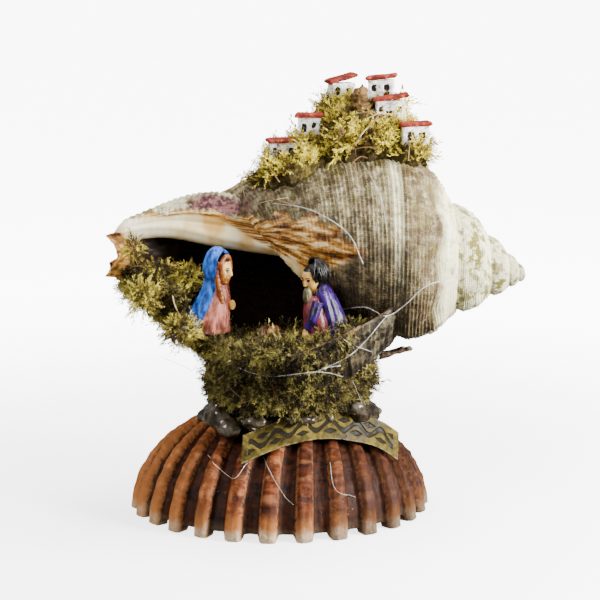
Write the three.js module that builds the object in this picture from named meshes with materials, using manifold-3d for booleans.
// A shell grotto: a spiral rock shell set on an upturned ribbed valve, with moss, small painted
// figures in the mouth and a village of six houses on the moss above it. Millimetres, +Z up.
import * as THREE from 'three';
import { mergeVertices } from 'three/addons/utils/BufferGeometryUtils.js';
import Module from 'manifold-3d';

const wasm = await Module();
wasm.setup();

// ---------------------------------------------------------------- driving dimensions
const GAP = 0.3;                  // clearance between pieces that touch
const DEG = Math.PI / 180;
const TURN = 2 * Math.PI;

// spiral shell: a logarithmic spiral about an axis that runs from the apex to the siphon end
const GROWTH = 1.8;               // how much the shell grows in one turn
const AXIS_TILT = 8.4 * DEG;      // the siphon end is higher than the apex
const SPIRAL_CENTRE = new THREE.Vector3(50, -3, 48.6);
const WALL = 1.5;
const SPIRE_TURNS = 5;            // whorls between the apex and the last full turn
const STEP = 20 * DEG;            // one ring of the sweep, half of a nodule's spacing
const NODULES_PER_TURN = 9;
const NODULE_HEIGHT = 0.75;
const SHOULDER = 31.0;            // distance along the axis where the nodules stand
const PILLAR_RADIUS = 3.4;        // the columella
const RIDGE_HEIGHT = 4.2;         // the ridge of old notch ends on the pillar's siphon half
const RIDGE_SIDE = 205 * DEG;     // it faces up and a little back
// the whorl's outline from the suture to the siphon notch: along the axis, out from the axis
const WHORL = [
  [24.3, 13.0], [24.6, 16.0], [28.0, 20.6], [32.4, 25.0], [39.0, 27.8], [45.0, 27.5],
  [51.0, 26.5], [60.0, 23.7], [68.0, 19.8], [76.4, 13.6], [81.0, 8.6], [82.4, 5.2],
];
const LIP_TOP = 64 * DEG;         // where the lip ends at the suture, past straight down
const LIP_TIP = 6 * DEG;          // and at the siphon end
const LIP_OVERRUN = 10 * DEG;     // the hollow's cutter goes on past the lip
const SIPHON_BEND = 5;            // the siphon end turns down by this much
const SIPHON_START = 68;
const SIPHON_LENGTH = 16;

// ribbed valve, the foot
const VALVE_CENTRE = new THREE.Vector2(0, 3);
const VALVE_HALF_WIDTH = 29.4;
const VALVE_HALF_DEPTH = 25.4;
const VALVE_HEIGHT = 21;
const VALVE_WALL = 1.9;
const RIBS = 27;
const RIB_HEIGHT = 0.8;
const BEAK = new THREE.Vector2(6, 23);

// small village on the moss hill: middle of the front wall's foot, width, depth, wall height, and in
// degrees the turn about the vertical and the fall of the roof to the right
const HOUSES = [
  { x: 12.2, y: -0.5, z: 83.4, wide: 4.6, deep: 4.0, high: 2.8, turn: 14, pitch: -15 },
  { x: 20.2, y: 0.3, z: 82.6, wide: 4.8, deep: 4.0, high: 4.2, turn: -8, pitch: -6 },
  { x: 21.8, y: -4.8, z: 79.2, wide: 5.6, deep: 3.6, high: 3.8, turn: 0, pitch: -9 },
  { x: 26.2, y: -9.4, z: 75.0, wide: 4.9, deep: 3.4, high: 3.6, turn: 6, pitch: -2 },
  { x: 6.0, y: -5.5, z: 76.2, wide: 4.2, deep: 3.8, high: 3.8, turn: -6, pitch: -1 },
  { x: 0.8, y: -6.5, z: 71.8, wide: 5.0, deep: 4.0, high: 3.4, turn: 8, pitch: -1 },
];
const ROOF_THICKNESS = 0.5;
const ROOF_EAVES = 0.6;

// ---------------------------------------------------------------- solids
/** Signed volume of an indexed mesh, to tell whether its faces point out. */
function signedVolume(points, faces) {
  const cross = new THREE.Vector3();
  let volume = 0;
  for (const [a, b, c] of faces) {
    volume += cross.crossVectors(points[b], points[c]).dot(points[a]) / 6;
  }
  return volume;
}

/** A manifold solid from shared points and faces, turned the right way out. */
function solidFrom(points, faces) {
  const out = signedVolume(points, faces) < 0 ? faces.map(([a, b, c]) => [a, c, b]) : faces;
  const mesh = new wasm.Mesh({
    numProp: 3,
    vertProperties: new Float32Array(points.flatMap((p) => [p.x, p.y, p.z])),
    triVerts: new Uint32Array(out.flat()),
  });
  return new wasm.Manifold(mesh);
}

/** A manifold solid from a three.js geometry. */
function solidOf(geometry) {
  const plain = geometry.clone();
  plain.deleteAttribute('normal');
  plain.deleteAttribute('uv');
  const merged = mergeVertices(plain, 1e-4);
  const place = merged.attributes.position;
  const points = [];
  for (let i = 0; i < place.count; i += 1) {
    points.push(new THREE.Vector3().fromBufferAttribute(place, i));
  }
  const faces = [];
  for (let i = 0; i < merged.index.count; i += 3) {
    const face = [0, 1, 2].map((k) => merged.index.getX(i + k));
    if (new Set(face).size === 3) faces.push(face);
  }
  return solidFrom(points, faces);
}

/** The three.js geometry of a manifold solid. */
function geometryOf(solid) {
  const mesh = solid.getMesh();
  const positions = new Float32Array(mesh.numVert * 3);
  for (let i = 0; i < mesh.numVert; i += 1) {
    for (let k = 0; k < 3; k += 1) {
      positions[3 * i + k] = mesh.vertProperties[mesh.numProp * i + k];
    }
  }
  const geometry = new THREE.BufferGeometry();
  geometry.setAttribute('position', new THREE.BufferAttribute(positions, 3));
  geometry.setIndex(new THREE.BufferAttribute(mesh.triVerts, 1));
  geometry.computeVertexNormals();
  return geometry;
}

/** Rings of points joined one to the next, with the flat outline's triangles as end caps. */
function loft(rings, outline) {
  const count = outline.length;
  const points = rings.flat();
  const faces = [];
  for (let i = 0; i + 1 < rings.length; i += 1) {
    for (let j = 0; j < count; j += 1) {
      const a = i * count + j;
      const b = i * count + ((j + 1) % count);
      faces.push([a, b, b + count], [a, b + count, a + count]);
    }
  }
  const cap = THREE.ShapeUtils.triangulateShape(outline, []);
  const last = (rings.length - 1) * count;
  const forward = THREE.ShapeUtils.area(outline) > 0 ? 1 : -1;
  for (const [a, b, c] of cap) {
    if (forward > 0) faces.push([a, c, b], [a + last, b + last, c + last]);
    else faces.push([a, b, c], [a + last, c + last, b + last]);
  }
  return { points, faces };
}

/** A loft as a solid; the caps follow the side walls' turning. */
function loftSolid(rings, outline) {
  const first = loft(rings, outline);
  const directed = new Set(first.faces.flatMap(([a, b, c]) => [`${a}_${b}`, `${b}_${c}`, `${c}_${a}`]));
  const twice = first.faces.length * 3 !== directed.size;
  const turned = twice ? loft(rings, outline.slice().map((p) => new THREE.Vector2(p.y, p.x))) : first;
  return solidFrom(turned.points, turned.faces);
}

/** A lumpy ellipsoid: a sphere with low waves on it, stretched to its three radii, tipped about Y. */
function lump(centre, radii, wave = 0, around = 16, down = 10, tip = 0) {
  const geometry = new THREE.SphereGeometry(1, around, down);
  const place = geometry.attributes.position;
  const p = new THREE.Vector3();
  for (let i = 0; i < place.count; i += 1) {
    p.fromBufferAttribute(place, i);
    const swell = 1 + wave * (Math.sin(5 * p.x + 1) * Math.cos(4 * p.y + 2) + 0.6 * Math.sin(7 * p.z));
    p.multiplyScalar(swell).multiply(new THREE.Vector3(...radii));
    p.applyAxisAngle(new THREE.Vector3(0, 1, 0), tip * DEG).add(new THREE.Vector3(...centre));
    place.setXYZ(i, p.x, p.y, p.z);
  }
  return solidOf(geometry);
}

/** A box given by its middle and sides, turned about the vertical through its middle. */
function block(centre, sides, turn = 0) {
  const geometry = new THREE.BoxGeometry(...sides);
  geometry.rotateZ(turn * DEG);
  geometry.translate(...centre);
  return solidOf(geometry);
}

/** The largest body of a solid, so that a cut leaves no crumbs. */
function mainBody(solid) {
  const bodies = solid.decompose();
  return bodies.reduce((best, body) => (body.volume() > best.volume() ? body : best));
}

// ---------------------------------------------------------------- spiral shell
/** 0 below low, 1 above high, with a smooth ramp between. */
function ramp(value, low, high) {
  return THREE.MathUtils.smoothstep(value, low, high);
}

/** A point of the shell at a growth angle: along and out are measured in the spiral's frame. */
function spiralPoint(along, out, angle) {
  const siphon = Math.max(0, (along - SIPHON_START) / SIPHON_LENGTH);
  const down = out * Math.cos(angle) + SIPHON_BEND * siphon * siphon;
  const front = out * Math.sin(angle);
  const cos = Math.cos(AXIS_TILT);
  const sin = Math.sin(AXIS_TILT);
  return new THREE.Vector3(-along * cos - down * sin, -front, along * sin - down * cos).add(SPIRAL_CENTRE);
}

/** One station of the whorl's outline, grown to its angle, with a nodule on the shoulder. */
function whorlRing(outline, angleAt, extra) {
  return outline.map(([along, out]) => {
    const angle = angleAt(along);
    const size = GROWTH ** (angle / TURN);
    const near = Math.exp(-(((along - SHOULDER) / 2.6) ** 2));
    const knob = out > 20 ? NODULE_HEIGHT * near * Math.cos(NODULES_PER_TURN * angle) : 0;
    const swell = out > 1 ? extra : 0;
    return spiralPoint((along - 0.35 * knob) * size, (out + 0.8 * knob) * size + swell, angle);
  });
}

/** Where the last whorl ends: late at the suture, early at the siphon end. */
function lipAngle(along) {
  return THREE.MathUtils.lerp(LIP_TOP, LIP_TIP, ramp(along, 28, 78));
}

/** The swept body of an outline between two growth angles; the last one may follow the lip. */
function whorlBody(outline, from, to, extra = 0, past = null) {
  const steps = Math.max(1, Math.round((to - from) / STEP));
  const flat = outline.map(([along, out]) => new THREE.Vector2(along, out));
  const rings = [];
  for (let i = 0; i <= steps; i += 1) {
    const end = (along) => (past === null ? to : lipAngle(along) + past);
    const angleAt = (along) => THREE.MathUtils.lerp(from, end(along), i / steps);
    rings.push(whorlRing(outline, angleAt, extra));
  }
  return loftSolid(rings, flat);
}

/** The outline closed along the axis, so that each whorl is a full body. */
function fullOutline() {
  return [[21, 0.4], ...WHORL, [82.4, 0.4]];
}

/** The hollow's outline: the whorl's own line moved in by the wall, closed along the axis. */
function hollowOutline(inset) {
  const wall = WHORL.slice(2);
  const moved = wall.map(([along, out], i) => {
    const before = wall[Math.max(0, i - 1)];
    const after = wall[Math.min(wall.length - 1, i + 1)];
    const length = Math.hypot(after[0] - before[0], after[1] - before[1]);
    const across = (after[0] - before[0]) / length;
    const rise = (after[1] - before[1]) / length;
    return [along + rise * inset, out - across * inset];
  });
  const clear = inset - WALL;
  return [[26 + 2 * clear, 0.4], [26 + 2 * clear, 15 - 2 * clear], ...moved, [84, 4], [84, 0.4]];
}

/** The columella: a pillar round the axis that thins towards the siphon end, with its ridge. */
function pillar(extra = 0) {
  const stations = [6, 20, 34, 47, 54, 61, 68, 72, 76, 80, 82.4];
  const around = 12;
  const rings = stations.map((along) => {
    const radius = Math.min(0.25 * along, PILLAR_RADIUS) * (1 - 0.35 * ramp(along, 60, 82)) + extra;
    const ridge = RIDGE_HEIGHT * ramp(along, 46, 62) * (1 - 0.78 * ramp(along, 68, 83));
    return Array.from({ length: around }, (_, k) => {
      const angle = (k / around) * TURN;
      const side = Math.max(0, Math.cos(angle - RIDGE_SIDE)) ** 0.8;
      return spiralPoint(along, radius + ridge * side, angle);
    });
  });
  const flat = Array.from({ length: around }, (_, k) => new THREE.Vector2(
    Math.cos((k / around) * TURN),
    Math.sin((k / around) * TURN),
  ));
  return loftSolid(rings, flat);
}

/** The whorls up to a growth angle as one filled body. */
function whorlsUpTo(limit, extra = 0) {
  const parts = [];
  const start = -SPIRE_TURNS * TURN;
  for (let from = start; from < limit - 1e-6; from += TURN / 2) {
    const to = Math.min(from + TURN / 2, limit);
    const outline = to <= -TURN + 1e-6 ? spireOutline() : fullOutline();
    parts.push(whorlBody(outline, from, to, extra));
  }
  const tip = spiralPoint(1.9, 0, 0);
  parts.push(lump([tip.x, tip.y, tip.z], [1.5, 1.5, 1.5], 0, 8, 6));
  return wasm.Manifold.union(parts);
}

/** Only the part of a whorl that the next one leaves bare, filled to the axis. */
function spireOutline() {
  return [[21, 0.4], ...WHORL.slice(0, 7), [51, 0.4]];
}

/** The hollow of the last turn, clear of the whorls before it and of the pillar. */
function shellHollow(inset, extra) {
  const outline = hollowOutline(inset);
  const outer = wasm.Manifold.union([
    whorlBody(outline, -TURN / 2, 0),
    whorlBody(outline, 0, LIP_TOP, 0, LIP_OVERRUN),
  ]).subtract(whorlsUpTo(-TURN + 80 * DEG, extra));
  const inner = whorlBody(outline, -TURN + 60 * DEG, -TURN / 2)
    .subtract(whorlsUpTo(-1.5 * TURN + 20 * DEG, extra));
  return outer.add(inner).subtract(pillar(extra));
}

/** The whole outside of the shell as a filled body, grown by extra for clearances. */
function shellFilled(extra) {
  const lip = whorlBody(fullOutline(), 0, LIP_TOP, extra, extra > 0 ? 1 * DEG : 0);
  return whorlsUpTo(0, extra).add(lip).add(pillar(extra));
}

function spiralShell() {
  return mainBody(shellFilled(0).subtract(shellHollow(WALL, 0.2)));
}

// ---------------------------------------------------------------- ribbed valve
/** Height of the dome over a point of its plan, 0 at the margin. */
function domeHeight(x, y, shrink) {
  const u = (x - VALVE_CENTRE.x) / (VALVE_HALF_WIDTH - shrink);
  const v = (y - VALVE_CENTRE.y) / (VALVE_HALF_DEPTH - shrink);
  return (VALVE_HEIGHT - shrink) * Math.sqrt(Math.max(0, 1 - u * u - v * v));
}

/** A surface point on the fan from the beak to the margin, raised on the ribs. */
function valvePoint(turn, part, shrink, rib) {
  const margin = new THREE.Vector2(
    VALVE_CENTRE.x + (VALVE_HALF_WIDTH - shrink) * Math.cos(turn),
    VALVE_CENTRE.y + (VALVE_HALF_DEPTH - shrink) * Math.sin(turn),
  );
  const plan = BEAK.clone().lerp(margin, part);
  const height = part === 1 ? 0 : domeHeight(plan.x, plan.y, shrink);
  const normal = new THREE.Vector3(
    (plan.x - VALVE_CENTRE.x) / VALVE_HALF_WIDTH ** 2,
    (plan.y - VALVE_CENTRE.y) / VALVE_HALF_DEPTH ** 2,
    height / VALVE_HEIGHT ** 2,
  ).normalize();
  const raised = rib * Math.cos(RIBS * turn) * part;
  const point = new THREE.Vector3(plan.x, plan.y, height).addScaledVector(normal, raised);
  point.z = part === 1 ? 0 : point.z;
  return point;
}

/** One skin of the valve: rings of points from the beak out to the margin. */
function valveSkin(shrink, rib) {
  const parts = [0.16, 0.34, 0.52, 0.68, 0.82, 0.93, 1];
  const columns = 2 * RIBS;
  return parts.map((part) => Array.from({ length: columns }, (_, k) => (
    valvePoint((k / columns) * TURN, part, shrink, rib))));
}

/** A dome of one skin, closed by a flat face under it. */
function valveDome(shrink, rib, sink = 0) {
  const rings = valveSkin(shrink, rib);
  const points = [valvePoint(0, 0, shrink, 0), ...rings.flat()];
  const columns = rings[0].length;
  const faces = [];
  for (let k = 0; k < columns; k += 1) {
    const next = (k + 1) % columns;
    faces.push([0, 1 + k, 1 + next]);
    for (let i = 0; i + 1 < rings.length; i += 1) {
      const a = 1 + i * columns + k;
      const b = 1 + i * columns + next;
      faces.push([a, a + columns, b + columns], [a, b + columns, b]);
    }
  }
  const foot = points.length;
  const rim = 1 + (rings.length - 1) * columns;
  const floor = rings[rings.length - 1].map((p) => new THREE.Vector3(p.x, p.y, -sink));
  points.push(...floor, new THREE.Vector3(VALVE_CENTRE.x, VALVE_CENTRE.y, -sink));
  const middle = points.length - 1;
  for (let k = 0; k < columns; k += 1) {
    const next = (k + 1) % columns;
    if (sink > 0) faces.push([rim + k, foot + k, foot + next], [rim + k, foot + next, rim + next]);
    faces.push(sink > 0 ? [middle, foot + next, foot + k] : [middle, rim + next, rim + k]);
  }
  return solidFrom(points, faces);
}

function ribbedValve() {
  return valveDome(0, RIB_HEIGHT).subtract(valveDome(VALVE_WALL, 0, 1));
}

// ---------------------------------------------------------------- moss, glue and cork
const clearShell = shellFilled(GAP);
const clearValve = valveDome(-GAP, RIB_HEIGHT, 1);

function gluePad() {
  const pad = lump([2.5, 3.5, 18.6], [19.5, 14.5, 4.4], 0.02);
  return mainBody(pad.subtract(clearValve).subtract(clearShell));
}

function mossNeck() {
  const neck = lump([2, -2.5, 28], [17, 15.5, 8.6], 0.04).subtract(block([0, 0, 10], [90, 90, 26.6]));
  return mainBody(neck.subtract(clearShell).subtract(lump([2.5, 2, 18.6], [19.9, 16.9, 4.8], 0.02)));
}

/** The bed in the mouth fills the hollow's lower part and hangs over the lip's edge. */
function mossBed(standing) {
  const hollow = shellHollow(WALL + GAP, GAP + 0.2);
  const filling = wasm.Manifold.union([
    block([-6, -4, 20], [66, 26, 31]),
    block([-6, -17, 20], [66, 16, 35.4]),
    lump([-22, -10, 43], [12, 9, 5], 0.03, 16, 10, 42),
    lump([-13, -12, 35.5], [7, 6, 3.7], 0.03),
  ]);
  return mainBody(hollow.intersect(filling).subtract(standing));
}

function hillBlob() {
  const cushions = HOUSES.map((house) => (
    lump([house.x, house.y + 1.2, house.z - 2.4], [4.2, 3.6, 3.1], 0.03, 10, 8)));
  return wasm.Manifold.union([
    ...cushions,
    lump([16.5, 0, 69], [12.8, 11.5, 14.4], 0.02),
    lump([5, -2, 66.6], [11, 11, 8.6], 0.02),
    lump([15, -1, 67], [15.5, 13, 8], 0.02),
  ]);
}

const CORK = { centre: [15.9, -3.2, 81.8], radii: [2.0, 2.0, 4.2] };

function corkRock() {
  return lump(CORK.centre, CORK.radii, 0.08, 12, 8);
}

function mossHill(villageRoom) {
  const room = wasm.Manifold.union([
    ...villageRoom,
    lump(CORK.centre, CORK.radii.map((r) => r + GAP), 0.08, 12, 8),
  ]);
  return mainBody(hillBlob().subtract(clearShell).subtract(room));
}

// ---------------------------------------------------------------- village
/** The box of a house's walls, grown by extra all round. */
function houseBox(house, extra) {
  const half = house.deep / 2;
  return block(
    [house.x, house.y + half, house.z + house.high / 2],
    [house.wide + 2 * extra, house.deep + 2 * extra, house.high + 2 * extra],
    house.turn,
  );
}

/** Walls with a doorway cut a little way into the front. */
function houseWalls(house) {
  const door = block(
    [house.x + 0.9, house.y, house.z + 0.9],
    [1, 1, 1.6],
    house.turn,
  );
  return houseBox(house, 0).subtract(door);
}

/** A thin sloping roof slab that lies just above the walls. */
function houseRoof(house) {
  const across = house.wide + 2 * ROOF_EAVES;
  const geometry = new THREE.BoxGeometry(across, house.deep + 2 * ROOF_EAVES, ROOF_THICKNESS);
  geometry.rotateY(house.pitch * DEG);
  geometry.rotateZ(house.turn * DEG);
  const lift = Math.abs(Math.tan(house.pitch * DEG)) * (house.wide / 2) + ROOF_THICKNESS / 2 + GAP;
  geometry.translate(house.x, house.y + house.deep / 2, house.z + house.high + lift);
  return solidOf(geometry);
}

// ---------------------------------------------------------------- figures
/** A body built up from level ovals: height, half width, half depth, shift along x. */
function ovalTower(centre, levels, around = 12) {
  const flat = Array.from({ length: around }, (_, k) => new THREE.Vector2(
    Math.cos((k / around) * TURN),
    Math.sin((k / around) * TURN),
  ));
  const rings = levels.map(([height, wide, deep, shift]) => flat.map((p) => new THREE.Vector3(
    centre[0] + shift + wide * p.x,
    centre[1] + deep * p.y,
    centre[2] + height,
  )));
  return loftSolid(rings, flat);
}

/** A kneeling woman who looks along +X, her cloak spread behind her. */
function kneelingWoman(extra = 0) {
  const cloak = ovalTower([-13.8, -12, 39.6 - extra], [
    [0, 4.6, 3.2, -0.2], [2.4, 4.4, 3.3, -0.3], [6, 3.3, 2.8, 0.2], [9.6, 2.2, 2, 1.2],
  ].map(([height, wide, deep, shift]) => [height, wide + extra, deep + extra, shift]));
  const head = lump([-11.6, -12, 52], [2.7, 2.3, 3.7], 0, 12, 10);
  return cloak.add(head);
}

/** A bearded man who bows along -X, wrapped in a cloak. */
function beardedMan() {
  const cloak = ovalTower([9.2, -18, 38.2], [
    [0, 3.4, 2.9, -0.4], [3, 3.6, 3, 0], [7.5, 3.1, 2.7, 0.3], [10.6, 1.9, 1.8, -0.4],
  ]);
  const head = lump([7.6, -18, 50.6], [2.6, 2.3, 3.6], 0, 12, 10);
  return cloak.add(head);
}

/** A swaddled child lying across the bed. */
function infant() {
  const body = lump([-2.5, -4.4, 37.1], [1.5, 2.7, 1.2], 0, 10, 8);
  const head = lump([-1.2, -7.2, 37.3], [1.3, 1.4, 1.3], 0, 10, 8);
  return body.add(head);
}

// ---------------------------------------------------------------- strip and twig
/** A thin bent strip that stands on the valve's front shoulder and leans back on the glue. */
function nameStrip() {
  const foot = new THREE.CatmullRomCurve3([
    new THREE.Vector3(-7.2, -17.0, 14.2),
    new THREE.Vector3(2.2, -14.8, 17.4),
    new THREE.Vector3(10.4, -12.2, 17.8),
    new THREE.Vector3(18.6, -9.2, 15.6),
    new THREE.Vector3(23.6, -8.0, 12.4),
  ]);
  const lean = new THREE.Vector3(0.3, 2.6, 4.9);
  const thick = new THREE.Vector3(0.1, 0.45, -0.24);
  const flat = [[0, 0], [1, 0], [1, 1], [0, 1]].map(([a, b]) => new THREE.Vector2(a, b));
  const rings = foot.getPoints(16).map((p) => flat.map((q) => (
    p.clone().addScaledVector(lean, q.x).addScaledVector(thick, q.y))));
  return loftSolid(rings, flat).subtract(clearValve);
}

/** A short dry stalk that leaves the moss behind the neck. */
function twig() {
  const route = new THREE.CatmullRomCurve3([
    new THREE.Vector3(20.4, 1, 31.6),
    new THREE.Vector3(23, 0.6, 32.2),
    new THREE.Vector3(26, 0.2, 33),
  ]);
  const flat = Array.from({ length: 7 }, (_, k) => new THREE.Vector2(
    Math.cos((k / 7) * TURN),
    Math.sin((k / 7) * TURN),
  ));
  const rings = route.getPoints(5).map((p, i) => flat.map((q) => new THREE.Vector3(
    p.x,
    p.y + (0.8 - 0.06 * i) * q.x,
    p.z + (0.8 - 0.06 * i) * q.y,
  )));
  return loftSolid(rings, flat);
}

// ---------------------------------------------------------------- assembly
const group = new THREE.Group();

function add(name, solid, color, roughness) {
  const material = new THREE.MeshStandardMaterial({ color, roughness, metalness: 0 });
  const mesh = new THREE.Mesh(geometryOf(solid), material);
  mesh.name = name;
  group.add(mesh);
  return mesh;
}

const walls = HOUSES.map(houseWalls);
const roofs = HOUSES.map(houseRoof);
const villageRoom = [
  ...HOUSES.map((house) => houseBox(house, GAP)),
  ...HOUSES.map((house) => (
    houseBox({ ...house, z: house.z + house.high - 0.4, high: 1.6 }, ROOF_EAVES + GAP))),
];
const figures = { kneeling_woman: kneelingWoman(), bearded_man: beardedMan(), infant: infant() };
const bed = mossBed(kneelingWoman(GAP));
const strip = nameStrip();

add('spiral_shell', spiralShell(), 0xb5ac98, 0.6);
add('ribbed_valve', ribbedValve(), 0x7a3d2a, 0.55);
add('glue_pad', gluePad().subtract(strip), 0x9c958a, 0.15);
add('moss_neck', mossNeck().subtract(strip), 0x6d6a25, 0.95);
add('moss_bed', bed, 0x66631f, 0.95);
add('moss_hill', mossHill(villageRoom), 0x8a8528, 0.95);
add('cork_rock', corkRock(), 0x8a6238, 0.9);
walls.forEach((solid, i) => add(`house_${i + 1}_walls`, solid, 0xe8e6df, 0.8));
roofs.forEach((solid, i) => add(`house_${i + 1}_roof`, solid, 0xa83a2c, 0.7));
add('kneeling_woman', figures.kneeling_woman, 0x4a86c8, 0.4);
add('bearded_man', figures.bearded_man, 0x5a3a94, 0.3);
add('infant', figures.infant, 0xa8563a, 0.5);
add('name_strip', strip, 0x8a7a3c, 0.7);
add('twig', twig(), 0x3c2d20, 0.9);

// the origin is the middle of the foot's footprint, on the surface that it stands on
const bounds = new THREE.Box3().setFromObject(group);
const middle = bounds.getCenter(new THREE.Vector3());
group.position.set(-middle.x, -middle.y, -bounds.min.z);
group.updateMatrixWorld(true);

export default group;
